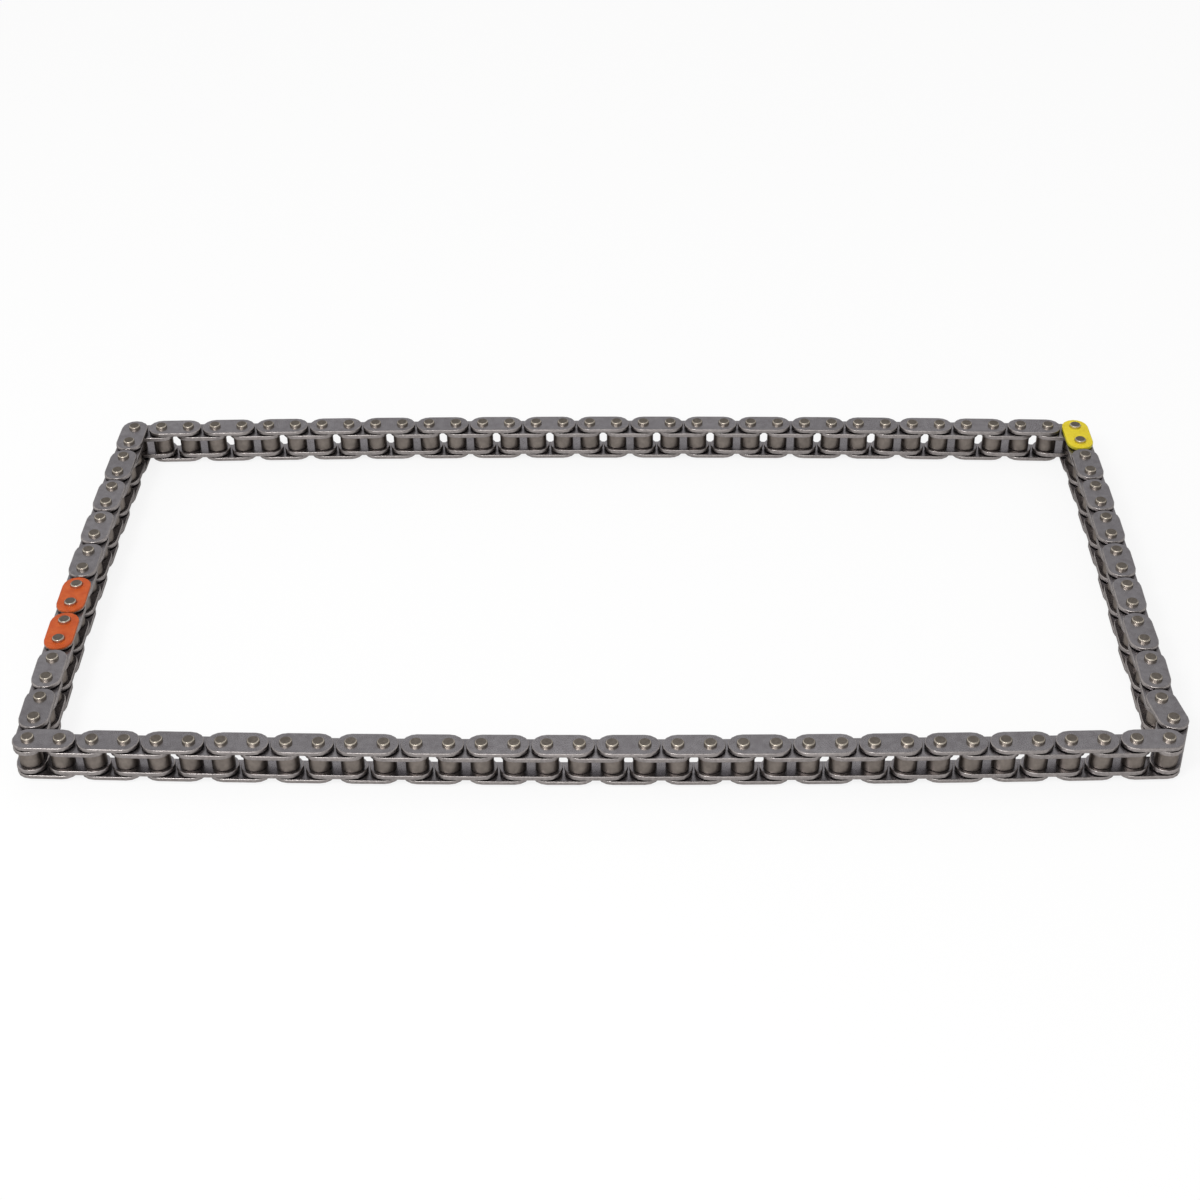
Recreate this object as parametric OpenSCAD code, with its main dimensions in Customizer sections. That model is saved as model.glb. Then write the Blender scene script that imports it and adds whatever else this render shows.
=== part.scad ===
// Endless single-strand roller chain for an engine's timing drive.
// It lies on its side as a loop with slightly bowed sides and square corners, one of them leaning.
// Pins stand along Z with their lower ends on z = 0, and the front row is at -Y.

/* [Loop] */
// Distance between neighbouring pin axes
pitch = 9.525; // [9.4:0.005:12.7]
// Two-link units in each long row, beside its one three-link unit
row_units = 16; // [8:1:24]
// Two-link units in each short column
column_units = 9; // [7:1:14]
// Bend at every pin of a long row in degrees, which bows it outwards
row_bow = 0.108; // [0:0.002:0.2]
// Bend at every pin of a short column in degrees
column_bow = 0.182; // [0:0.002:0.4]
// Outward lean in degrees of the first link after the front right corner
corner_lean = 16.5; // [0:0.5:20]
// Turn in degrees by which the link after it comes back
corner_return = 12; // [0:0.5:14]

/* [Plates] */
// Height of every plate across its straight edges
plate_h = 9.1; // [7.6:0.05:9.2]
// Thickness of the outer plates
outer_t = 1.4; // [0.9:0.05:2]
// Thickness of the inner plates
inner_t = 1.6; // [1:0.05:2.2]
// Clear width between the two inner plates of a link
inner_w = 5.3; // [3.5:0.05:8]
// Chamfer round both faces of every plate
plate_chamfer = 0.25; // [0.05:0.01:0.3]

/* [Pins, bushes and rollers] */
// Pin diameter
pin_d = 3.9; // [2.8:0.05:4.2]
// Length of pin that stands out of each outer plate
pin_stand = 1; // [0.6:0.05:1.6]
// Width of the chamfer on the pin ends
pin_chamfer = 0.35; // [0.1:0.05:0.5]
// Height of the chamfer on the pin ends
pin_chamfer_h = 0.35; // [0.1:0.05:0.5]
// Outside diameter of the bushes
bush_d = 5.3; // [5:0.05:5.5]
// Length of bush that stands out of each inner plate
bush_stand = 0.15; // [0.05:0.01:0.2]
// Outside diameter of the rollers
roller_d = 7; // [6.35:0.05:7.3]
// Chamfer on the roller ends
roller_chamfer = 0.15; // [0.05:0.01:0.25]

/* [Clearances] */
// Radial running clearance of a pin in its bush
pin_play = 0.05; // [0.02:0.01:0.1]
// Radial clearance at the closing pivot, in the middle of the back row
closing_play = 0.25; // [0.1:0.01:0.3]
// Radial running clearance of a roller on its bush
roller_play = 0.06; // [0.02:0.01:0.1]
// Clearance at each end of a roller
roller_end_play = 0.1; // [0.05:0.01:0.2]
// Side gap between an outer and an inner plate
link_gap = 0.3; // [0.25:0.01:0.5]
// Radial seat gap of a pressed pin or bush
press_gap = 0.015; // [0.01:0.005:0.03]

/* [Painted plates] */
// Links from the back left corner to the first orange plate
orange_offset = 10; // [0:2:12]

/* [Hidden] */
$fn = 48;
least_wall = 0.4;
row_links = 2 * row_units + 3;
column_links = 2 * column_units;
half_links = row_links + column_links;
all_links = 2 * half_links;

plate_r = plate_h / 2;
pin_r = pin_d / 2;
bush_in_r = pin_r + pin_play;
bush_r = max(bush_d / 2, pin_r + max(pin_play, closing_play) + least_wall);
roller_in_r = bush_r + roller_play;
roller_r = max(roller_d / 2, roller_in_r + least_wall);

inner_len = inner_w + 2 * inner_t;
bush_len = inner_len + 2 * bush_stand;
roller_len = inner_w - 2 * roller_end_play;
pin_len = inner_len + 2 * (link_gap + outer_t + pin_stand);
mid_z = pin_len / 2;
inner_z = inner_w / 2;
outer_z = inner_len / 2 + link_gap;

// Even links are outer links and odd links are inner links, counted from the front left corner.
yellow_link = half_links - 1;
orange_link_1 = half_links + row_links + orange_offset;
orange_link_2 = orange_link_1 + 2;
painted_links = [yellow_link, orange_link_1, orange_link_2];
closing_link = half_links + 2 * floor((row_units + 2) / 2);

plate_grey = "#6f6c70";
pin_grey = "#7d776d";
roller_grey = "#57524c";
yellow_paint = "#dfca3b";
orange_paint = "#d45f2a";

function two_digits(i) = i < 10 ? str("0", i) : str(i);
function front_name(i) = str("front_unit_", two_digits(i));
function right_name(i) = str("right_unit_", two_digits(i));
function back_name(i) = str("back_unit_", two_digits(i));
function left_name(i) = str("left_unit_", two_digits(i));

// Heading of link k in the front and right half of the even loop
function half_heading(k) =
    k < row_links
        ? row_bow * (k - (row_links - 1) / 2)
        : 90 + column_bow * (k - row_links - (column_links - 1) / 2);

// The other half is the first one turned by half a turn, so the even loop closes.
function even_heading(k) = k < half_links ? half_heading(k) : 180 + half_heading(k - half_links);

// The first two links of the right column lean out, and its third unit eases back into line.
corner_heading = half_heading(row_links);
next_heading = half_heading(row_links + 1);
lean_x = cos(corner_heading - corner_lean) - cos(corner_heading)
    + cos(next_heading + corner_return) - cos(next_heading);
column_ease = asin(lean_x / 2);
leaning_links = [row_links, row_links + 1, row_links + 4, row_links + 5];
lean_turns = [-corner_lean, corner_return, column_ease, column_ease];
lost_height = [for (i = [0 : 3])
    sin(half_heading(leaning_links[i])) - sin(half_heading(leaning_links[i]) + lean_turns[i])
] * [1, 1, 1, 1];

// Every other unit of the back row tilts a little to meet the lower top of the right column.
tilted_links = [for (k = [half_links : half_links + row_links - 1])
    if ((k - half_links) % 4 < 2 || k >= half_links + 2 * row_units) k];
back_tilt = asin(lost_height / len(tilted_links));

function turn(k) =
    let (i = search(k, leaning_links))
    len(i) > 0 ? lean_turns[i[0]] : len(search(k, tilted_links)) > 0 ? -back_tilt : 0;
headings = [for (k = [0 : all_links - 1]) even_heading(k) + turn(k)];
function link_step(k) = pitch * [cos(headings[k]), sin(headings[k])];

loop_points = [for (k = 0, v = [0, 0]; k < all_links; v = v + link_step(k), k = k + 1) v];
loop_x = [for (v = loop_points) v[0]];
loop_y = [for (v = loop_points) v[1]];
loop_centre = [max(loop_x) + min(loop_x), max(loop_y) + min(loop_y)] / 2;
pin_points = [for (v = loop_points) v - loop_centre];

// Puts children on link k, with its first pin at the origin and its second along +X
module on_link(k) {
    translate([pin_points[k][0], pin_points[k][1], mid_z])
        rotate([0, 0, headings[k]])
            children();
}

// Half of a plate's section, from its middle line to its chamfered edge
module plate_section(t) {
    c = plate_chamfer;
    polygon([[0, 0], [plate_r - c, 0], [plate_r, c], [plate_r, t - c], [plate_r - c, t], [0, t]]);
}

// Straight-sided plate with round ends on two holes, lying on z = 0
module link_plate(t, hole_r) {
    difference() {
        union() {
            rotate([0, 0, 90])
                rotate_extrude(angle = 180)
                    plate_section(t);
            translate([pitch, 0, 0])
                rotate([0, 0, -90])
                    rotate_extrude(angle = 180)
                        plate_section(t);
            rotate([90, 0, 90])
                linear_extrude(height = pitch) {
                    plate_section(t);
                    mirror([1, 0])
                        plate_section(t);
                }
        }
        for (x = [0, pitch])
            translate([x, 0, -1])
                cylinder(r = hole_r, h = t + 2);
    }
}

// Solid pin with chamfered ends, centred on its length
module pin() {
    h = pin_len / 2;
    c = pin_chamfer;
    ch = pin_chamfer_h;
    rotate_extrude()
        polygon([[0, -h], [pin_r - c, -h], [pin_r, ch - h], [pin_r, h - ch], [pin_r - c, h], [0, h]]);
}

// Plain sleeve pressed into the inner plates
module bush(in_r) {
    rotate_extrude()
        translate([in_r, -bush_len / 2])
            square([bush_r - in_r, bush_len]);
}

// Sleeve that runs on a bush between the inner plates
module roller() {
    h = roller_len / 2;
    c = roller_chamfer;
    rotate_extrude()
        polygon([
            [roller_in_r, -h], [roller_r - c, -h], [roller_r, c - h],
            [roller_r, h - c], [roller_r - c, h], [roller_in_r, h]
        ]);
}

module upper_outer_plate() {
    translate([0, 0, outer_z])
        link_plate(outer_t, pin_r + press_gap);
}

module lower_outer_plate() {
    translate([0, 0, -outer_z - outer_t])
        link_plate(outer_t, pin_r + press_gap);
}

// Two outer plates pressed onto two pins; a painted upper plate is a sub-part of its own
module outer_link(k) {
    on_link(k) {
        color(plate_grey) {
            lower_outer_plate();
            if (len(search(k, painted_links)) == 0)
                upper_outer_plate();
        }
        color(pin_grey)
            for (x = [0, pitch])
                translate([x, 0, 0])
                    pin();
    }
}

// Two inner plates pressed onto two bushes, with a roller on each bush
module inner_link(k) {
    on_link(k) {
        color(plate_grey)
            for (z = [inner_z, -inner_z - inner_t])
                translate([0, 0, z])
                    link_plate(inner_t, bush_r + press_gap);
        for (x = [0, pitch])
            translate([x, 0, 0]) {
                color(plate_grey)
                    bush(k == closing_link && x == 0 ? pin_r + closing_play : bush_in_r);
                color(roller_grey)
                    roller();
            }
    }
}

module links(first, count) {
    for (k = [first : first + count - 1])
        if (k % 2 == 0)
            outer_link(k);
        else
            inner_link(k);
}

// The last unit of a row has three links, so that a row turns into a column at its corner pin.
function row_count(i) = i > row_units ? 3 : 2;

module front_unit(i) {
    links(2 * (i - 1), row_count(i));
}

module right_unit(i) {
    links(row_links + 2 * (i - 1), 2);
}

module back_unit(i) {
    links(half_links + 2 * (i - 1), row_count(i));
}

module left_unit(i) {
    links(half_links + row_links + 2 * (i - 1), 2);
}

module yellow_plate() {
    color(yellow_paint)
        on_link(yellow_link)
            upper_outer_plate();
}

module orange_plate_1() {
    color(orange_paint)
        on_link(orange_link_1)
            upper_outer_plate();
}

module orange_plate_2() {
    color(orange_paint)
        on_link(orange_link_2)
            upper_outer_plate();
}

for (i = [1 : row_units + 1])
    front_unit(i);
for (i = [1 : column_units])
    right_unit(i);
for (i = [1 : row_units + 1])
    back_unit(i);
for (i = [1 : column_units])
    left_unit(i);
yellow_plate();
orange_plate_1();
orange_plate_2();
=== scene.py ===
"""Looks of an endless roller timing chain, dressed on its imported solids.

The chain lies on its side as a bowed rectangle. Every unit of links is one
piece that rides on its body and stands for the solids of that unit, and the
three marking plates are pieces of their own.
"""

import logging
import math
import random
from dataclasses import dataclass, field
from enum import Enum, IntEnum
from typing import Any

import bmesh
import bpy
from mathutils import Euler, Matrix, Vector


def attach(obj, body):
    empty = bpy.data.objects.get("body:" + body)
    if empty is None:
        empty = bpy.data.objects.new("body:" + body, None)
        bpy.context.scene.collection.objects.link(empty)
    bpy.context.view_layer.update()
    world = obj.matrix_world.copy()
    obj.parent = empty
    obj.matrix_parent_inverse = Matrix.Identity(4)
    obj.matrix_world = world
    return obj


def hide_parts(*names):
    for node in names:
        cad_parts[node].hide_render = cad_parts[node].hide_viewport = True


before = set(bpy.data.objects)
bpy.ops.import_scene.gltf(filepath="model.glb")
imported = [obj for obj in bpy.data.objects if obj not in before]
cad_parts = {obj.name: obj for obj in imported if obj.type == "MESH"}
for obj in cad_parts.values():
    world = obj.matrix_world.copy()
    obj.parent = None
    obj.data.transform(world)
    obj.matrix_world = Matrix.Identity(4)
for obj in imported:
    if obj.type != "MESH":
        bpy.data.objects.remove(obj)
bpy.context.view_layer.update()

MM = 0.001
WHITE = "#ffffff"
# Face attribute that holds the lightness of each copied shape, from 0 to 1
TONE = "tone"
MEAN_TONE = 0.5
TONE_SEED = 11
# Nearly all values of a noise texture lie between these
NOISE_LOW, NOISE_HIGH = 0.3, 0.7
# Values of the noise at which the dark, main and light tones are met
STEEL_STOPS = (NOISE_LOW, 0.5, NOISE_HIGH)
PAINT_STOPS = (NOISE_LOW, 0.5, 0.72)
# Sockets of a Mix node that mixes colours
MIX_SHARE, MIX_A, MIX_B, MIXED = 0, 6, 7, 2
# Points closer than this in millimetres are one point
SAME_MM = 1e-3
# Upward share of a face's normal above which it is flat, and below which it is upright
FLAT, UPRIGHT = 0.99, 0.2
# Radians by which a square edge may be off
SQUARE_SLACK = 0.1
# Bend in degrees from which an edge is sharp
SHARP_FROM = 60
log = logging.getLogger("timing_chain")


class LinkKind(Enum):
    """The two kinds of link that alternate round the loop."""

    OUTER = "outer"
    INNER = "inner"


class Side(Enum):
    """The four runs of the loop, in the order in which links are counted."""

    FRONT = "front"
    RIGHT = "right"
    BACK = "back"
    LEFT = "left"


class Surface(IntEnum):
    """Material slots of a unit's mesh."""

    PLATE_FACE = 0
    PLATE_EDGE = 1
    PLATE_RIM = 2
    PIN_END = 3
    PIN_SIDE = 4
    ROLLER = 5
    BUSH = 6


def linear(hex_colour: str) -> tuple[float, float, float, float]:
    """Turns an sRGB hex colour to linear light.

    Args:
        hex_colour: Six hex digits after a hash sign.

    Returns:
        Red, green, blue and an alpha of one.
    """
    parts = [int(hex_colour[i : i + 2], 16) / 255 for i in (1, 3, 5)]
    red, green, blue = (
        c / 12.92 if c <= 0.04045 else ((c + 0.055) / 1.055) ** 2.4 for c in parts
    )
    return red, green, blue, 1.0


def add_node(
    tree: bpy.types.NodeTree,
    kind: str,
    settings: dict[str, Any] | None = None,
    inputs: dict[str | int, Any] | None = None,
) -> bpy.types.Node:
    """Adds one node with its settings, values and links.

    Args:
        tree: Node tree that gets the node.
        kind: Blender's name for the kind of node.
        settings: Attributes of the node.
        inputs: Sockets to link from, or values, by input name or number.

    Returns:
        The new node.
    """
    node = tree.nodes.new(kind)
    for name, value in (settings or {}).items():
        setattr(node, name, value)
    for name, value in (inputs or {}).items():
        if isinstance(value, bpy.types.NodeSocket):
            tree.links.new(value, node.inputs[name])
        else:
            node.inputs[name].default_value = value
    return node


def blank_tree(owner: bpy.types.Material | bpy.types.World) -> bpy.types.NodeTree:
    """Gives a material or world an empty node tree.

    Args:
        owner: Material or world whose nodes are cleared.

    Returns:
        Its empty node tree.
    """
    owner.use_nodes = True
    owner.node_tree.nodes.clear()
    return owner.node_tree


def set_ramp(node: bpy.types.Node, stops: list[tuple[float, str]]) -> None:
    """Sets the stops of a colour ramp.

    Args:
        node: Colour ramp node.
        stops: Place and hex colour of each stop.
    """
    elements = node.color_ramp.elements
    while len(elements) < len(stops):
        elements.new(1.0)
    for element, (place, colour) in zip(elements, stops):
        element.position = place
        element.color = linear(colour)


def add_mottle(
    tree: bpy.types.NodeTree,
    place: bpy.types.NodeSocket,
    size_mm: float,
    stops: list[tuple[float, str]],
) -> tuple[bpy.types.NodeSocket, bpy.types.NodeSocket]:
    """Adds a cloudy pattern of several tones.

    Args:
        tree: Node tree of the material.
        place: Object coordinates.
        size_mm: Size of the clouds.
        stops: Value of the noise and hex colour of each tone.

    Returns:
        The noise and the colour.
    """
    clouds = add_node(
        tree,
        "ShaderNodeTexNoise",
        inputs={
            "Vector": place,
            "Scale": 1 / (size_mm * MM),
            "Detail": 4.0,
            "Roughness": 0.6,
        },
    ).outputs["Fac"]
    ramp = add_node(tree, "ShaderNodeValToRGB", inputs={"Fac": clouds})
    set_ramp(ramp, stops)
    return clouds, ramp.outputs["Color"]


@dataclass(frozen=True)
class Grain:
    """Fine relief of a surface, which also varies its gloss.

    Real marks of tumbling, grinding and brushing are a few hundredths of a
    millimetre wide, too fine to show, so they are drawn about ten times as wide.

    Attributes:
        width_mm: Width of the marks as drawn.
        depth_mm: Height of the relief.
        roughness: Roughness where the surface is smoothest and where it is dullest.
        raggedness: Share of the relief that lies in its finer octaves.
    """

    width_mm: float
    depth_mm: float
    roughness: tuple[float, float]
    raggedness: float = 0.55

    def add(
        self, tree: bpy.types.NodeTree, place: bpy.types.NodeSocket
    ) -> dict[str, bpy.types.NodeSocket]:
        """Adds the relief to a material.

        Args:
            tree: Node tree of the material.
            place: Object coordinates.

        Returns:
            What feeds the shader, by the name of its input.
        """
        marks = add_node(
            tree,
            "ShaderNodeTexNoise",
            inputs={
                "Vector": place,
                "Scale": 1 / (self.width_mm * MM),
                "Detail": 3.0,
                "Roughness": self.raggedness,
            },
        ).outputs["Fac"]
        smoothest, dullest = self.roughness
        rough = add_node(
            tree,
            "ShaderNodeMapRange",
            inputs={
                "Value": marks,
                "From Min": NOISE_LOW,
                "From Max": NOISE_HIGH,
                "To Min": smoothest,
                "To Max": dullest,
            },
        )
        bump = add_node(
            tree,
            "ShaderNodeBump",
            inputs={"Strength": 1.0, "Distance": self.depth_mm * MM, "Height": marks},
        )
        return {"Roughness": rough.outputs["Result"], "Normal": bump.outputs["Normal"]}


@dataclass(frozen=True)
class SteelFinish:
    """A bare steel surface with mottled tone and a fine grain.

    Attributes:
        name: Material name.
        tones: Colours of the darkest mottles, the main surface and the lightest mottles.
        mottle_mm: Size of the mottles.
        grain: Relief and roughness.
        grazing: Share of its reflection that is left at a grazing look, which
            an oil film and fine pits dull.
        tone_spread: Share by which one piece is lighter or darker than another.
    """

    name: str
    tones: tuple[str, str, str]
    mottle_mm: float
    grain: Grain
    grazing: float = 0.5
    tone_spread: float = 0.06

    def material(self) -> bpy.types.Material:
        """Builds the material.

        Returns:
            A procedural material on Object coordinates.
        """
        made = bpy.data.materials.new(self.name)
        tree = blank_tree(made)
        place = add_node(tree, "ShaderNodeTexCoord").outputs["Object"]
        stops = list(zip(STEEL_STOPS, self.tones))
        _, mottled = add_mottle(tree, place, self.mottle_mm, stops)
        tone = add_node(tree, "ShaderNodeAttribute", {"attribute_name": TONE})
        level = add_node(
            tree,
            "ShaderNodeMapRange",
            inputs={
                "Value": tone.outputs["Fac"],
                "To Min": 1 - self.tone_spread,
                "To Max": 1 + self.tone_spread,
            },
        )
        toned = add_node(
            tree,
            "ShaderNodeVectorMath",
            {"operation": "SCALE"},
            {0: mottled, "Scale": level.outputs["Result"]},
        )
        shader = add_node(
            tree,
            "ShaderNodeBsdfPrincipled",
            inputs={
                "Base Color": toned.outputs["Vector"],
                "Metallic": 1.0,
                "Specular Tint": (self.grazing, self.grazing, self.grazing, 1.0),
                **self.grain.add(tree, place),
            },
        )
        add_node(
            tree,
            "ShaderNodeOutputMaterial",
            inputs={"Surface": shader.outputs["BSDF"]},
        )
        return made


@dataclass(frozen=True)
class MarkingPaint:
    """Brushed-on marking paint over a steel plate.

    Attributes:
        name: Material name.
        tones: Colours where the coat is thin, on most of it and where it is thick.
        edge: Colour on the plate's upright sides: partly a thinner coat with the steel
            showing through, partly painted shade of the sides.
        steel: Colour of the plate below the painted band.
        paint_end_mm: Height above the floor at which the paint ends.
        fade_mm: Height over which the paint thins out.
        patch_mm: Size of the patches in which the coat pools.
        gloss: Specular level of the dry coat.
        grain: Brush marks and dust.
    """

    name: str
    tones: tuple[str, str, str]
    edge: str
    steel: str
    paint_end_mm: float
    fade_mm: float
    patch_mm: float = 3.0
    gloss: float = 0.3
    grain: Grain = Grain(0.4, 0.012, roughness=(0.36, 0.5), raggedness=0.5)

    def material(self) -> bpy.types.Material:
        """Builds the material.

        Returns:
            A procedural material on Object coordinates.
        """
        made = bpy.data.materials.new(self.name)
        tree = blank_tree(made)
        place = add_node(tree, "ShaderNodeTexCoord").outputs["Object"]
        stops = list(zip(PAINT_STOPS, self.tones))
        pooled, coat = add_mottle(tree, place, self.patch_mm, stops)
        # the upright sides take the edge colour: partly a thinner coat over the steel,
        # partly painted shade of the sides
        facing = add_node(tree, "ShaderNodeNewGeometry").outputs["Normal"]
        upward = add_node(tree, "ShaderNodeSeparateXYZ", inputs={"Vector": facing})
        coat_and_shaded_sides = add_node(
            tree,
            "ShaderNodeMix",
            {"data_type": "RGBA"},
            {MIX_SHARE: upward.outputs["Z"], MIX_A: linear(self.edge), MIX_B: coat},
        )
        # pooled paint runs lower, so the painted band ends in a ragged line
        height = add_node(tree, "ShaderNodeSeparateXYZ", inputs={"Vector": place})
        ragged = add_node(
            tree,
            "ShaderNodeMath",
            {"operation": "MULTIPLY_ADD"},
            {0: pooled, 1: self.fade_mm * MM, 2: height.outputs["Z"]},
        )
        covered = add_node(
            tree,
            "ShaderNodeMapRange",
            inputs={
                "Value": ragged.outputs["Value"],
                "From Min": self.paint_end_mm * MM,
                "From Max": (self.paint_end_mm + self.fade_mm) * MM,
            },
        ).outputs["Result"]
        colour = add_node(
            tree,
            "ShaderNodeMix",
            {"data_type": "RGBA"},
            {
                MIX_SHARE: covered,
                MIX_A: linear(self.steel),
                MIX_B: coat_and_shaded_sides.outputs[MIXED],
            },
        )
        bare = add_node(
            tree,
            "ShaderNodeMapRange",
            inputs={"Value": covered, "To Min": 1.0, "To Max": 0.0},
        )
        shader = add_node(
            tree,
            "ShaderNodeBsdfPrincipled",
            inputs={
                "Base Color": colour.outputs[MIXED],
                "Metallic": bare.outputs["Result"],
                "Specular IOR Level": self.gloss,
                **self.grain.add(tree, place),
            },
        )
        add_node(
            tree,
            "ShaderNodeOutputMaterial",
            inputs={"Surface": shader.outputs["BSDF"]},
        )
        return made


@dataclass(frozen=True)
class ChainSizes:
    """Sizes of the chain's pieces in millimetres, as in its solids.

    Attributes:
        pitch: Distance between neighbouring pins.
        plate_h: Height of every plate across its straight edges.
        outer_t: Thickness of the outer plates.
        inner_t: Thickness of the inner plates.
        inner_w: Clear width between the inner plates of a link.
        plate_chamfer: Chamfer round both faces of a plate.
        pin_d: Diameter of the pins.
        pin_stand: Length of pin that stands out of each outer plate.
        pin_chamfer: Width of the chamfer on the pin ends.
        pin_chamfer_h: Height of the chamfer on the pin ends.
        bush_d: Outside diameter of the bushes.
        bush_stand: Length of bush that stands out of each inner plate.
        roller_d: Outside diameter of the rollers.
        roller_chamfer: Chamfer on the roller ends.
        pin_play: Radial clearance of a pin in its bush.
        closing_play: The same clearance at the closing pivot.
        roller_play: Radial clearance of a roller on its bush.
        roller_end_play: Clearance at each end of a roller.
        link_gap: Side gap between an outer and an inner plate.
        press_gap: Radial seat gap of a pressed pin or bush.
    """

    pitch: float = 9.525
    plate_h: float = 9.1
    outer_t: float = 1.4
    inner_t: float = 1.6
    inner_w: float = 5.3
    plate_chamfer: float = 0.25
    pin_d: float = 3.9
    pin_stand: float = 1.0
    pin_chamfer: float = 0.35
    pin_chamfer_h: float = 0.35
    bush_d: float = 5.3
    bush_stand: float = 0.15
    roller_d: float = 7.0
    roller_chamfer: float = 0.15
    pin_play: float = 0.05
    closing_play: float = 0.25
    roller_play: float = 0.06
    roller_end_play: float = 0.1
    link_gap: float = 0.3
    press_gap: float = 0.015

    @property
    def outer_z(self) -> float:
        """Height of an outer plate's inner face from the chain's middle."""
        return self.inner_w / 2 + self.inner_t + self.link_gap

    @property
    def pin_len(self) -> float:
        """Whole length of a pin."""
        return 2 * (self.outer_z + self.outer_t + self.pin_stand)

    @property
    def bush_len(self) -> float:
        """Whole length of a bush."""
        return self.inner_w + 2 * (self.inner_t + self.bush_stand)


@dataclass(frozen=True)
class Link:
    """One link of the loop.

    Attributes:
        number: Count of the link from the front left corner.
        start: Place of its first pin in millimetres.
        heading: Direction to its second pin in degrees.
    """

    number: int
    start: Vector
    heading: float

    @property
    def kind(self) -> LinkKind:
        """Even links are outer links and odd ones inner links."""
        return LinkKind.INNER if self.number % 2 else LinkKind.OUTER


@dataclass(frozen=True)
class LoopLayout:
    """Lay of the loop on the floor, as in its solids.

    Attributes:
        row_units: Two-link units in each long row.
        column_units: Two-link units in each short column.
        row_bow: Bend at each pin of a row in degrees.
        column_bow: Bend at each pin of a column in degrees.
        corner_lean: Outward lean of the link after the front right corner.
        corner_return: Turn by which the next link comes back.
        orange_offset: Links from the back left corner to the first orange plate.
    """

    row_units: int = 16
    column_units: int = 9
    row_bow: float = 0.108
    column_bow: float = 0.182
    corner_lean: float = 16.5
    corner_return: float = 12.0
    orange_offset: int = 10

    @property
    def row_links(self) -> int:
        """Links in a long row."""
        return 2 * self.row_units + 3

    @property
    def half_links(self) -> int:
        """Links in a row and a column."""
        return self.row_links + 2 * self.column_units

    @property
    def closing_link(self) -> int:
        """Inner link in the middle of the back row, where the loop was closed."""
        return self.half_links + 2 * ((self.row_units + 2) // 2)

    def even_heading(self, number: int) -> float:
        """Heading of a link in the even loop.

        Args:
            number: Count of the link.

        Returns:
            Heading in degrees.
        """
        half, along = divmod(number, self.half_links)
        if along < self.row_links:
            turn = self.row_bow * (along - (self.row_links - 1) / 2)
        else:
            column = along - self.row_links
            turn = 90 + self.column_bow * (column - (2 * self.column_units - 1) / 2)
        return 180 * half + turn

    def turns(self) -> dict[int, float]:
        """Turns that the leaning corner gives to single links.

        Returns:
            Turn in degrees by link number.
        """

        def cosine(angle: float) -> float:
            """Cosine of an angle in degrees."""
            return math.cos(math.radians(angle))

        def sine(angle: float) -> float:
            """Sine of an angle in degrees."""
            return math.sin(math.radians(angle))

        # the two links after the corner lean out, and the third unit brings the column back
        first = self.row_links
        lean = {first: -self.corner_lean, first + 1: self.corner_return}
        lean_x = sum(
            cosine(self.even_heading(k) + turn) - cosine(self.even_heading(k))
            for k, turn in lean.items()
        )
        ease = math.degrees(math.asin(lean_x / 2))
        lean |= {first + 4: ease, first + 5: ease}
        lost = sum(
            sine(self.even_heading(k)) - sine(self.even_heading(k) + turn)
            for k, turn in lean.items()
        )
        # every other unit of the back row tilts to meet the lower end of the column
        tilted = [
            self.half_links + j
            for j in range(self.row_links)
            if j % 4 < 2 or j >= 2 * self.row_units
        ]
        tilt = math.degrees(math.asin(lost / len(tilted)))
        return lean | {k: -tilt for k in tilted}

    def links(self, pitch: float) -> list[Link]:
        """Lays all links round the loop, centred on the middle of its box.

        Args:
            pitch: Distance between neighbouring pins in millimetres.

        Returns:
            The links in order.
        """
        turns = self.turns()
        point, laid = Vector((0, 0)), []
        for number in range(2 * self.half_links):
            heading = self.even_heading(number) + turns.get(number, 0.0)
            laid.append((number, point.copy(), heading))
            angle = math.radians(heading)
            point += pitch * Vector((math.cos(angle), math.sin(angle)))
        xs = [p.x for _, p, _ in laid]
        ys = [p.y for _, p, _ in laid]
        centre = Vector((max(xs) + min(xs), max(ys) + min(ys))) / 2
        return [Link(number, p - centre, heading) for number, p, heading in laid]

    def units(self) -> dict[str, range]:
        """Names the rigid units of links.

        Returns:
            Link numbers by unit name.
        """
        starts = {
            Side.FRONT: 0,
            Side.RIGHT: self.row_links,
            Side.BACK: self.half_links,
            Side.LEFT: self.half_links + self.row_links,
        }
        named: dict[str, range] = {}
        for side, start in starts.items():
            is_row = side in (Side.FRONT, Side.BACK)
            count = self.row_units + 1 if is_row else self.column_units
            for i in range(1, count + 1):
                length = 3 if is_row and i == count else 2
                first = start + 2 * (i - 1)
                named[f"{side.value}_unit_{i:02d}"] = range(first, first + length)
        return named

    def painted(self) -> dict[str, int]:
        """Names the painted plates.

        Returns:
            Link number by the plate's name.
        """
        orange = self.half_links + self.row_links + self.orange_offset
        return {
            "yellow_plate": self.half_links - 1,
            "orange_plate_1": orange,
            "orange_plate_2": orange + 2,
        }


def finished_mesh(bm: bmesh.types.BMesh, name: str) -> bpy.types.Mesh:
    """Shades a bmesh and turns it to a mesh in metres.

    Args:
        bm: Shape in millimetres, which is freed.
        name: Name of the mesh.

    Returns:
        The mesh, smooth on its round faces and sharp on its edges.
    """
    for face in bm.faces:
        face.smooth = True
    for edge in bm.edges:
        edge.smooth = edge.calc_face_angle(0.0) < math.radians(SHARP_FROM)
    bmesh.ops.scale(bm, vec=(MM, MM, MM), verts=bm.verts[:])
    made = bpy.data.meshes.new(name)
    bm.to_mesh(made)
    bm.free()
    return made


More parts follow.
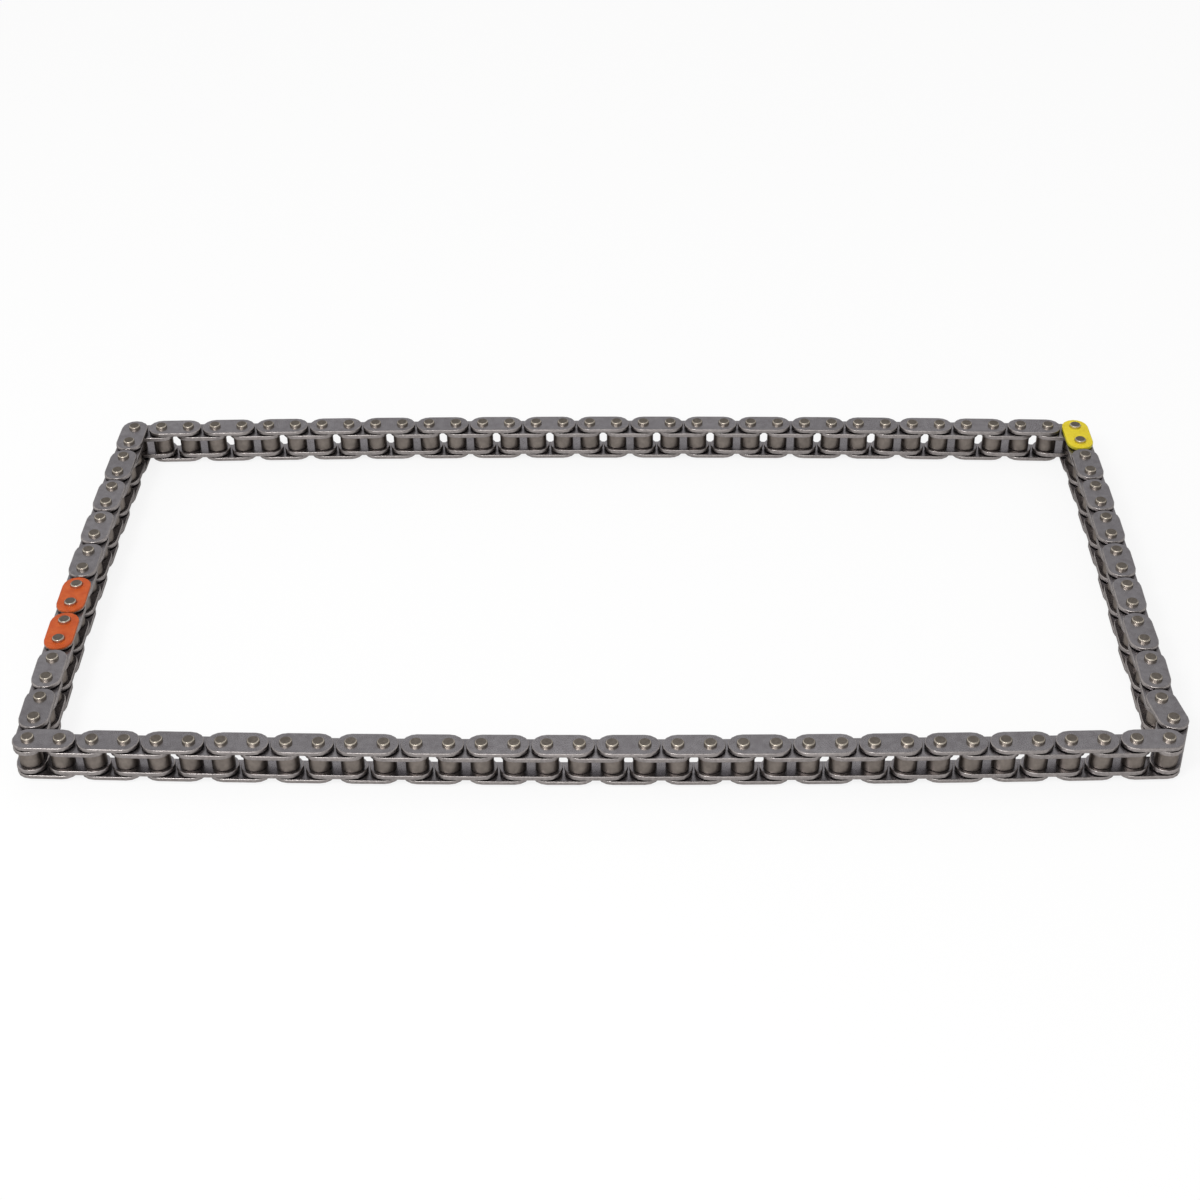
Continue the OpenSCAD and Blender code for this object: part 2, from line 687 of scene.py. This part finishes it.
def on_link(link: Link, sizes: ChainSizes, place: Vector) -> Matrix:
    """Places a shape on a link.

    Args:
        link: Link that carries the shape.
        sizes: Sizes of the chain.
        place: Place along the link and from mid height, in millimetres.

    Returns:
        Matrix in metres.
    """
    start = Vector((link.start.x, link.start.y, sizes.pin_len / 2)) * MM
    turn = Matrix.Rotation(math.radians(link.heading), 4, "Z")
    return Matrix.Translation(start) @ turn @ Matrix.Translation(place * MM)


def add_copy(
    bm: bmesh.types.BMesh, shape: bpy.types.Mesh, matrix: Matrix, tone: float
) -> None:
    """Adds a placed copy of a shape to a bmesh.

    Args:
        bm: Mesh that grows.
        shape: Shape to copy.
        matrix: Place of the copy.
        tone: Lightness of the copy, from 0 to 1.
    """
    copy = shape.copy()
    copy.transform(matrix)
    layer = copy.attributes.new(TONE, "FLOAT", "FACE")
    layer.data.foreach_set("value", [tone] * len(copy.polygons))
    bm.from_mesh(copy)
    bpy.data.meshes.remove(copy)


def new_piece(
    bm: bmesh.types.BMesh, name: str, materials: list[bpy.types.Material]
) -> bpy.types.Object:
    """Turns a bmesh to an object at the origin.

    Args:
        bm: Shape in metres, which is freed.
        name: Name of the object.
        materials: Material slots in order.

    Returns:
        The linked object.
    """
    mesh = bpy.data.meshes.new(name)
    bm.to_mesh(mesh)
    bm.free()
    for material in materials:
        mesh.materials.append(material)
    made = bpy.data.objects.new(name, mesh)
    bpy.context.scene.collection.objects.link(made)
    return made


def round_off(piece: bpy.types.Object) -> None:
    """Lets the chamfers of a piece shade as rounded edges beside flat faces.

    Args:
        piece: Piece with smooth chamfers.
    """
    shading = piece.modifiers.new("rounded_edges", "WEIGHTED_NORMAL")
    shading.mode = "FACE_AREA"
    # at its highest weight, the flat faces alone set the normals they share
    shading.weight = 100
    shading.keep_sharp = True


@dataclass
class PlateShape:
    """A straight-sided link plate with round ends, lying on z = 0.

    Attributes:
        sizes: Sizes of the chain.
        thickness: Thickness in millimetres.
        hole_r: Radius of the two holes in millimetres.
        segments: Sides of a full circle.
    """

    sizes: ChainSizes
    thickness: float
    hole_r: float
    segments: int = 16

    def mesh(self, name: str) -> bpy.types.Mesh:
        """Models the plate.

        Args:
            name: Name of the mesh.

        Returns:
            A closed mesh with the plate's material slots.
        """
        radius, middle = self.sizes.plate_h / 2, self.sizes.pitch / 2
        bm = bmesh.new()
        bmesh.ops.create_circle(bm, segments=self.segments, radius=self.hole_r)
        rim = bmesh.ops.create_circle(bm, segments=self.segments, radius=radius)
        bmesh.ops.bridge_loops(bm, edges=bm.edges[:])
        self._square_off(rim["verts"], radius, middle)
        far_half = bmesh.ops.duplicate(bm, geom=bm.verts[:] + bm.edges[:] + bm.faces[:])
        bmesh.ops.rotate(
            bm,
            verts=[v for v in far_half["geom"] if isinstance(v, bmesh.types.BMVert)],
            cent=(middle, 0, 0),
            matrix=Matrix.Rotation(math.pi, 3, "Z"),
        )
        bmesh.ops.remove_doubles(bm, verts=bm.verts[:], dist=SAME_MM)
        self._merge_faces(bm)
        top = bmesh.ops.extrude_face_region(bm, geom=bm.faces[:])["geom"]
        bmesh.ops.translate(
            bm,
            verts=[v for v in top if isinstance(v, bmesh.types.BMVert)],
            vec=(0, 0, self.thickness),
        )
        bmesh.ops.recalc_face_normals(bm, faces=bm.faces[:])
        bmesh.ops.bevel(
            bm,
            geom=[e for e in bm.edges if self._on_outline(e)],
            offset=self.sizes.plate_chamfer,
            offset_type="OFFSET",
            affect="EDGES",
            segments=1,
            profile=0.5,
            material=-1,
        )
        for face in bm.faces:
            steep = abs(face.normal.z)
            face.material_index = (
                Surface.PLATE_FACE
                if steep > FLAT
                else Surface.PLATE_EDGE
                if steep < UPRIGHT
                else Surface.PLATE_RIM
            )
        return finished_mesh(bm, name)

    def _square_off(
        self, rim: list[bmesh.types.BMVert], radius: float, middle: float
    ) -> None:
        """Pulls the right half of a round rim out to the plate's middle line.

        Args:
            rim: Vertices of the rim, round the first hole.
            radius: Radius of the rim.
            middle: Distance of the middle line from the hole.
        """
        # share of the quarter turn that one side of the rim takes up
        corner = 4 / self.segments
        for vert in rim:
            if vert.co.x > SAME_MM:
                turn = 1 - abs(math.atan2(vert.co.y, vert.co.x)) / (math.pi / 2)
                up = math.copysign(1.0, vert.co.y) if abs(vert.co.y) > SAME_MM else 0.0
                vert.co.x = middle * min(1.0, turn / corner)
                vert.co.y = up * radius * min(1.0, (1 - turn) / (1 - corner))

    @staticmethod
    def _merge_faces(bm: bmesh.types.BMesh) -> None:
        """Leaves one flat face on each side of the plate's long axis.

        Args:
            bm: Flat plate of quads.
        """
        for side in (1, -1):
            half = [f for f in bm.faces if side * f.calc_center_median().y > 0]
            bmesh.ops.dissolve_faces(bm, faces=half, use_verts=False)

    def _on_outline(self, edge: bmesh.types.BMEdge) -> bool:
        """Tells whether an edge runs along the plate's outline.

        Args:
            edge: Edge of the extruded plate.

        Returns:
            True for the outline of either face.
        """
        if abs(edge.verts[0].co.z - edge.verts[1].co.z) > SAME_MM:
            return False
        if abs(edge.calc_face_angle(0.0) - math.pi / 2) > SQUARE_SLACK:
            return False
        reach = self.hole_r + SAME_MM
        holes = (Vector((0, 0)), Vector((self.sizes.pitch, 0)))
        return all((v.co.xy - hole).length > reach for v in edge.verts for hole in holes)


@dataclass
class TurnedShape:
    """A turned piece round the Z axis, centred on its length.

    Attributes:
        profile: Radius and height of the profile's corners in millimetres.
        closed: Whether the profile is a closed loop, as in a sleeve.
        segments: Sides of the circle.
    """

    profile: list[tuple[float, float]]
    closed: bool
    segments: int = 16

    def mesh(
        self, name: str, side: Surface, end: Surface | None = None
    ) -> bpy.types.Mesh:
        """Models the piece.

        Args:
            name: Name of the mesh.
            side: Material slot of its turned faces.
            end: Material slot of its flat ends, where that differs.

        Returns:
            A closed mesh.
        """
        bm = bmesh.new()
        verts = [bm.verts.new((r, 0, z)) for r, z in self.profile]
        pairs = list(zip(verts, verts[1:]))
        if self.closed:
            pairs.append((verts[-1], verts[0]))
        edges = [bm.edges.new(pair) for pair in pairs]
        bmesh.ops.spin(
            bm,
            geom=verts + edges,
            cent=(0, 0, 0),
            axis=(0, 0, 1),
            angle=2 * math.pi,
            steps=self.segments,
            use_merge=True,
        )
        bmesh.ops.remove_doubles(bm, verts=bm.verts[:], dist=SAME_MM)
        if not self.closed:
            rims = [e for e in bm.edges if e.is_boundary]
            bmesh.ops.holes_fill(bm, edges=rims, sides=0)
        bmesh.ops.recalc_face_normals(bm, faces=bm.faces[:])
        for face in bm.faces:
            flat = abs(face.normal.z) > FLAT
            face.material_index = end if flat and end is not None else side
        return finished_mesh(bm, name)


@dataclass
class ShapeStock:
    """The shapes that make up every link, each modelled once.

    Attributes:
        sizes: Sizes of the chain.
        outer_plate: Plate of an outer link.
        inner_plate: Plate of an inner link.
        pin: Pin of an outer link.
        bush: Bush of an inner link.
        closing_bush: Bush with a wider bore, at the closing pivot.
        roller: Roller on a bush.
    """

    sizes: ChainSizes
    outer_plate: bpy.types.Mesh = field(init=False)
    inner_plate: bpy.types.Mesh = field(init=False)
    pin: bpy.types.Mesh = field(init=False)
    bush: bpy.types.Mesh = field(init=False)
    closing_bush: bpy.types.Mesh = field(init=False)
    roller: bpy.types.Mesh = field(init=False)

    def __post_init__(self) -> None:
        """Models the shapes."""
        s = self.sizes
        pin_r, bush_r, roller_r = s.pin_d / 2, s.bush_d / 2, s.roller_d / 2
        self.outer_plate = PlateShape(s, s.outer_t, pin_r + s.press_gap).mesh(
            "outer_plate"
        )
        self.inner_plate = PlateShape(s, s.inner_t, bush_r + s.press_gap).mesh(
            "inner_plate"
        )
        h, c, ch = s.pin_len / 2, s.pin_chamfer, s.pin_chamfer_h
        self.pin = TurnedShape(
            [(pin_r - c, -h), (pin_r, ch - h), (pin_r, h - ch), (pin_r - c, h)],
            closed=False,
        ).mesh("pin", Surface.PIN_SIDE, Surface.PIN_END)
        self.bush = self._bush("bush", pin_r + s.pin_play)
        self.closing_bush = self._bush("closing_bush", pin_r + s.closing_play)
        h, c = s.inner_w / 2 - s.roller_end_play, s.roller_chamfer
        bore = bush_r + s.roller_play
        self.roller = TurnedShape(
            [
                (bore, -h),
                (roller_r - c, -h),
                (roller_r, c - h),
                (roller_r, h - c),
                (roller_r - c, h),
                (bore, h),
            ],
            closed=True,
        ).mesh("roller", Surface.ROLLER)

    def _bush(self, name: str, bore: float) -> bpy.types.Mesh:
        """Models a bush.

        Args:
            name: Name of the mesh.
            bore: Radius of its bore in millimetres.

        Returns:
            The bush's mesh.
        """
        h, r = self.sizes.bush_len / 2, self.sizes.bush_d / 2
        profile = [(bore, -h), (r, -h), (r, h), (bore, h)]
        return TurnedShape(profile, closed=True).mesh(name, Surface.BUSH)


@dataclass
class ChainUnit:
    """A rigid unit of neighbouring links, dressed as one piece.

    Attributes:
        name: Name of its CAD node and body.
        links: Links of the unit.
        bare_tops: Links whose upper outer plate is a painted piece of its own.
        closing_link: Link whose first bush has a wider bore.
    """

    name: str
    links: list[Link]
    bare_tops: set[int]
    closing_link: int

    def build(
        self, stock: ShapeStock, finishes: list[bpy.types.Material], seed: random.Random
    ) -> bpy.types.Object:
        """Assembles the unit's piece and puts it on its body.

        Args:
            stock: Shapes to copy.
            finishes: Materials in the order of Surface.
            seed: Source of the tone of each piece.

        Returns:
            The finished piece.
        """
        bm = bmesh.new()
        for link in self.links:
            for shape, place in self._pieces(link, stock):
                add_copy(bm, shape, on_link(link, stock.sizes, place), seed.random())
        piece = new_piece(bm, f"{self.name}_links", finishes)
        round_off(piece)
        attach(piece, self.name)
        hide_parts(self.name)
        return piece

    def _pieces(
        self, link: Link, stock: ShapeStock
    ) -> list[tuple[bpy.types.Mesh, Vector]]:
        """Lists the pieces of one link.

        Args:
            link: Link to fill.
            stock: Shapes to choose from.

        Returns:
            Each shape with its place along the link and from mid height.
        """
        s = stock.sizes
        ends = (0.0, s.pitch)
        if link.kind is LinkKind.OUTER:
            made = [(stock.outer_plate, Vector((0, 0, -s.outer_z - s.outer_t)))]
            if link.number not in self.bare_tops:
                made.append((stock.outer_plate, Vector((0, 0, s.outer_z))))
            return made + [(stock.pin, Vector((x, 0, 0))) for x in ends]
        heights = (s.inner_w / 2, -s.inner_w / 2 - s.inner_t)
        made = [(stock.inner_plate, Vector((0, 0, z))) for z in heights]
        made += [(stock.roller, Vector((x, 0, 0))) for x in ends]
        first = stock.closing_bush if link.number == self.closing_link else stock.bush
        made += zip((first, stock.bush), (Vector((x, 0, 0)) for x in ends))
        return made


@dataclass
class MarkedPlate:
    """An upper outer plate with marking paint.

    Attributes:
        name: Name of its CAD node.
        body: Body that carries it.
        link: Outer link that it belongs to.
        paint_slot: Material slot in the record; not used.
    """

    name: str
    body: str
    link: Link
    paint_slot: str

    def build(self, stock: ShapeStock, paint: bpy.types.Material) -> bpy.types.Object:
        """Makes the plate's piece and puts it on its body.

        Args:
            stock: Shapes to copy.
            paint: Material of the whole plate.

        Returns:
            The finished piece.
        """
        bm = bmesh.new()
        place = Vector((0, 0, stock.sizes.outer_z))
        matrix = on_link(self.link, stock.sizes, place)
        add_copy(bm, stock.outer_plate, matrix, MEAN_TONE)
        for face in bm.faces:
            face.material_index = 0
        piece = new_piece(bm, f"{self.name}_marked", [paint])
        round_off(piece)
        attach(piece, self.body)
        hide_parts(self.name)
        return piece


@dataclass(frozen=True)
class Softbox:
    """A square studio lamp that points at the middle of the chain.

    Attributes:
        name: Name of the lamp.
        place: Place in metres.
        size: Length of its side in metres.
        radiance: Brightness of its face, where 1 is white.
    """

    name: str
    place: tuple[float, float, float]
    size: float
    radiance: float

    def build(self) -> bpy.types.Object:
        """Makes the lamp.

        Returns:
            The linked lamp.
        """
        lamp = bpy.data.lights.new(self.name, "AREA")
        lamp.shape = "SQUARE"
        lamp.size = self.size
        lamp.energy = self.radiance * math.pi * self.size**2
        made = bpy.data.objects.new(self.name, lamp)
        made.location = self.place
        made.rotation_euler = (-Vector(self.place)).to_track_quat("-Z", "Y").to_euler()
        bpy.context.scene.collection.objects.link(made)
        return made


@dataclass
class Studio:
    """Camera, floor, backdrop and lamps.

    Attributes:
        eye: Place of the camera in metres.
        turn: Rotation of the camera in degrees.
        lens: Focal length in millimetres.
        sensor: Width of the camera's sensor in millimetres.
        clip: Nearest and farthest distance that the camera sees, in metres.
        floor_size: Half of the floor's side in metres.
        floor_drop_mm: Gap between the pin ends and the floor.
        shadow_share: Share of the floor's look that takes shadow.
        mirrored_shadow_share: The same share as it mirrors in the steel.
        sky: Height of each tone of the backdrop, as a share of overhead, and its colour.
        right_level: Brightness of the studio far on the right, of that on the left.
        softboxes: The lamps.
    """

    eye: tuple[float, float, float] = (0.011328, -0.576257, 0.425484)
    turn: tuple[float, float, float] = (53.5533, 0.6284, 0.7556)
    lens: float = 65.8035
    sensor: float = 36.0
    clip: tuple[float, float] = (0.01, 50.0)
    floor_size: float = 6.0
    floor_drop_mm: float = 0.02
    shadow_share: float = 0.16
    mirrored_shadow_share: float = 0.6
    sky: tuple[tuple[float, str], ...] = (
        (0.1, WHITE),
        (0.5, "#dcdbdb"),
        (0.9, "#b0afae"),
    )
    right_level: float = 0.58
    softboxes: tuple[Softbox, ...] = (
        Softbox("key_softbox", (-0.5, -0.62, 0.9), 0.32, 13.0),
        Softbox("fill_softbox", (-0.15, -1.0, 0.95), 0.7, 2.6),
        Softbox("top_softbox", (0.1, 0.5, 1.3), 0.8, 0.8),
    )

    def build(self) -> None:
        """Sets the whole stage."""
        self._camera()
        self._floor()
        self._backdrop()
        for softbox in self.softboxes:
            softbox.build()
        bpy.context.scene.view_settings.view_transform = "Standard"

    def _camera(self) -> None:
        """Makes the camera at the photograph's viewing angle."""
        data = bpy.data.cameras.new("photo_camera")
        data.sensor_width = self.sensor
        data.lens = self.lens
        data.clip_start, data.clip_end = self.clip
        camera = bpy.data.objects.new("photo_camera", data)
        camera.location = self.eye
        camera.rotation_euler = Euler([math.radians(a) for a in self.turn], "XYZ")
        bpy.context.scene.collection.objects.link(camera)
        bpy.context.scene.camera = camera

    def _floor(self) -> None:
        """Makes the white floor, which keeps a light shadow of the chain."""
        bm = bmesh.new()
        bmesh.ops.create_grid(bm, x_segments=1, y_segments=1, size=self.floor_size)
        drop = (0, 0, -self.floor_drop_mm * MM)
        bmesh.ops.translate(bm, verts=bm.verts[:], vec=drop)
        # seamless paper: matt, and so evenly lit that it is white to the eye
        material = bpy.data.materials.new("white_paper_floor")
        tree = blank_tree(material)
        path = add_node(tree, "ShaderNodeLightPath").outputs
        seen = add_node(
            tree,
            "ShaderNodeMath",
            {"operation": "MAXIMUM"},
            {0: path["Is Camera Ray"], 1: path["Is Transmission Ray"]},
        )
        seen = add_node(
            tree,
            "ShaderNodeMath",
            {"operation": "MULTIPLY"},
            {0: seen.outputs["Value"], 1: 1 - self.shadow_share},
        )
        mirrored = add_node(
            tree,
            "ShaderNodeMath",
            {"operation": "MULTIPLY"},
            {0: path["Is Glossy Ray"], 1: 1 - self.mirrored_shadow_share},
        )
        share = add_node(
            tree,
            "ShaderNodeMath",
            {"operation": "MAXIMUM"},
            {0: seen.outputs["Value"], 1: mirrored.outputs["Value"]},
        )
        colour = {"Color": linear(WHITE)}
        paper = add_node(tree, "ShaderNodeBsdfDiffuse", inputs=colour)
        white = add_node(tree, "ShaderNodeEmission", inputs=colour)
        mix = add_node(
            tree,
            "ShaderNodeMixShader",
            inputs={
                "Fac": share.outputs["Value"],
                1: paper.outputs["BSDF"],
                2: white.outputs["Emission"],
            },
        )
        add_node(
            tree, "ShaderNodeOutputMaterial", inputs={"Surface": mix.outputs["Shader"]}
        )
        new_piece(bm, "floor", [material])

    def _backdrop(self) -> None:
        """Makes a world that is white low down, grey overhead and dimmer on the right."""
        world = bpy.data.worlds.new("studio")
        bpy.context.scene.world = world
        tree = blank_tree(world)
        ray = add_node(tree, "ShaderNodeTexCoord").outputs["Generated"]
        way = add_node(tree, "ShaderNodeSeparateXYZ", inputs={"Vector": ray}).outputs
        ramp = add_node(tree, "ShaderNodeValToRGB", inputs={"Fac": way["Z"]})
        set_ramp(ramp, list(self.sky))
        dimmed = add_node(
            tree,
            "ShaderNodeMapRange",
            inputs={"Value": way["X"], "To Min": 1.0, "To Max": self.right_level},
        )
        # the camera itself sees an even backdrop
        seen = add_node(tree, "ShaderNodeLightPath").outputs["Is Camera Ray"]
        level = add_node(
            tree,
            "ShaderNodeMath",
            {"operation": "MAXIMUM"},
            {0: seen, 1: dimmed.outputs["Result"]},
        )
        sky = add_node(
            tree,
            "ShaderNodeBackground",
            inputs={
                "Color": ramp.outputs["Color"],
                "Strength": level.outputs["Value"],
            },
        )
        add_node(
            tree,
            "ShaderNodeOutputWorld",
            inputs={"Surface": sky.outputs["Background"]},
        )


@dataclass
class TimingChain:
    """The whole chain with its finishes.

    Attributes:
        sizes: Sizes of its pieces.
        layout: Lay of its loop.
    """

    sizes: ChainSizes = field(default_factory=ChainSizes)
    layout: LoopLayout = field(default_factory=LoopLayout)

    def finishes(self) -> list[bpy.types.Material]:
        """Builds the steel finishes.

        Returns:
            Materials in the order of Surface.
        """
        by_surface = {
            # hardened and tumbled carbon steel: satin grey with a violet tinge
            Surface.PLATE_FACE: SteelFinish(
                "tumbled_carbon_steel",
                ("#888487", "#928f92", "#9b989b"),
                mottle_mm=2.2,
                grain=Grain(0.3, 0.008, roughness=(0.24, 0.32)),
            ),
            # blanked edge, burnished by tumbling: brighter and streakier
            Surface.PLATE_EDGE: SteelFinish(
                "blanked_steel_edge",
                ("#817c7b", "#928c8a", "#a39d9b"),
                mottle_mm=0.9,
                grain=Grain(0.25, 0.02, roughness=(0.3, 0.42)),
            ),
            # rolled-over rim of the blank: the brightest part of a plate
            Surface.PLATE_RIM: SteelFinish(
                "burnished_steel_rim",
                ("#979190", "#a6a09e", "#b5afac"),
                mottle_mm=1.2,
                grain=Grain(0.25, 0.008, roughness=(0.24, 0.32)),
            ),
            # cut and hardened pin end: dull brown grey
            Surface.PIN_END: SteelFinish(
                "hardened_pin_end",
                ("#6b655e", "#766f68", "#817a72"),
                mottle_mm=0.8,
                grain=Grain(0.2, 0.01, roughness=(0.42, 0.55)),
            ),
            # ground pin: bright and slightly warm
            Surface.PIN_SIDE: SteelFinish(
                "ground_pin_steel",
                ("#b8afa2", "#c4bbad", "#d0c7ba"),
                mottle_mm=1.5,
                grain=Grain(0.2, 0.004, roughness=(0.25, 0.31)),
            ),
            # drawn roller: smooth dark steel with a warm cast
            Surface.ROLLER: SteelFinish(
                "drawn_roller_steel",
                ("#716a64", "#7c746e", "#877f78"),
                mottle_mm=2.0,
                grain=Grain(0.3, 0.006, roughness=(0.36, 0.44)),
            ),
            # ground bush: smooth mid grey, seen only as a thin ring
            Surface.BUSH: SteelFinish(
                "ground_bush_steel",
                ("#807a74", "#8a847d", "#948e87"),
                mottle_mm=1.5,
                grain=Grain(0.25, 0.004, roughness=(0.25, 0.33)),
            ),
        }
        return [by_surface[surface].material() for surface in Surface]

    def paints(self) -> dict[str, bpy.types.Material]:
        """Builds the marking paints.

        Returns:
            Material by record slot.
        """
        top = self.sizes.pin_len / 2 + self.sizes.outer_z + self.sizes.outer_t
        steel = "#857f78"
        # marking lacquer, laid on thick: satin yellow down to the plate's lower edge
        yellow = MarkingPaint(
            "yellow_marking_paint",
            ("#e0c816", "#e8d220", "#eeda30"),
            # darker, greener sides: partly a thinner coat over the steel, partly painted
            # shade
            edge="#a8a024",
            steel=steel,
            paint_end_mm=top - 2.2,
            fade_mm=0.3,
        )
        # the same lacquer laid on thinner: satin orange that ends half way down the edge
        orange = MarkingPaint(
            "orange_marking_paint",
            ("#b64914", "#c2521a", "#cb5e24"),
            # darker sides: partly a thinner coat over the steel, partly painted shade
            edge="#9c4a1e",
            steel=steel,
            paint_end_mm=top - 0.75,
            fade_mm=0.4,
        )
        return {"yellow_paint": yellow.material(), "orange_paint": orange.material()}

    def build(self) -> None:
        """Builds and dresses every piece of the chain."""
        stock = ShapeStock(self.sizes)
        finishes, paints = self.finishes(), self.paints()
        links, units = self.layout.links(self.sizes.pitch), self.layout.units()
        painted = self.layout.painted()
        seed = random.Random(TONE_SEED)
        for name, numbers in units.items():
            unit = ChainUnit(
                name,
                [links[k] for k in numbers],
                set(painted.values()),
                self.layout.closing_link,
            )
            report(unit.build(stock, finishes, seed))
        for name, number in painted.items():
            body = next(unit for unit, numbers in units.items() if number in numbers)
            paint_slot = f"{name.split('_')[0]}_paint"
            plate = MarkedPlate(name, body, links[number], paint_slot)
            report(plate.build(stock, paints[paint_slot]))


def report(piece: bpy.types.Object) -> None:
    """Logs a finished piece.

    Args:
        piece: Piece to name.
    """
    log.info("%s: %d faces", piece.name, len(piece.data.polygons))


def main() -> None:
    """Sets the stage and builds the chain."""
    logging.basicConfig(level=logging.INFO, format="%(name)s: %(message)s")
    log.info("%d nodes to dress", len(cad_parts))
    Studio().build()
    TimingChain().build()


if __name__ == "__main__":
    main()
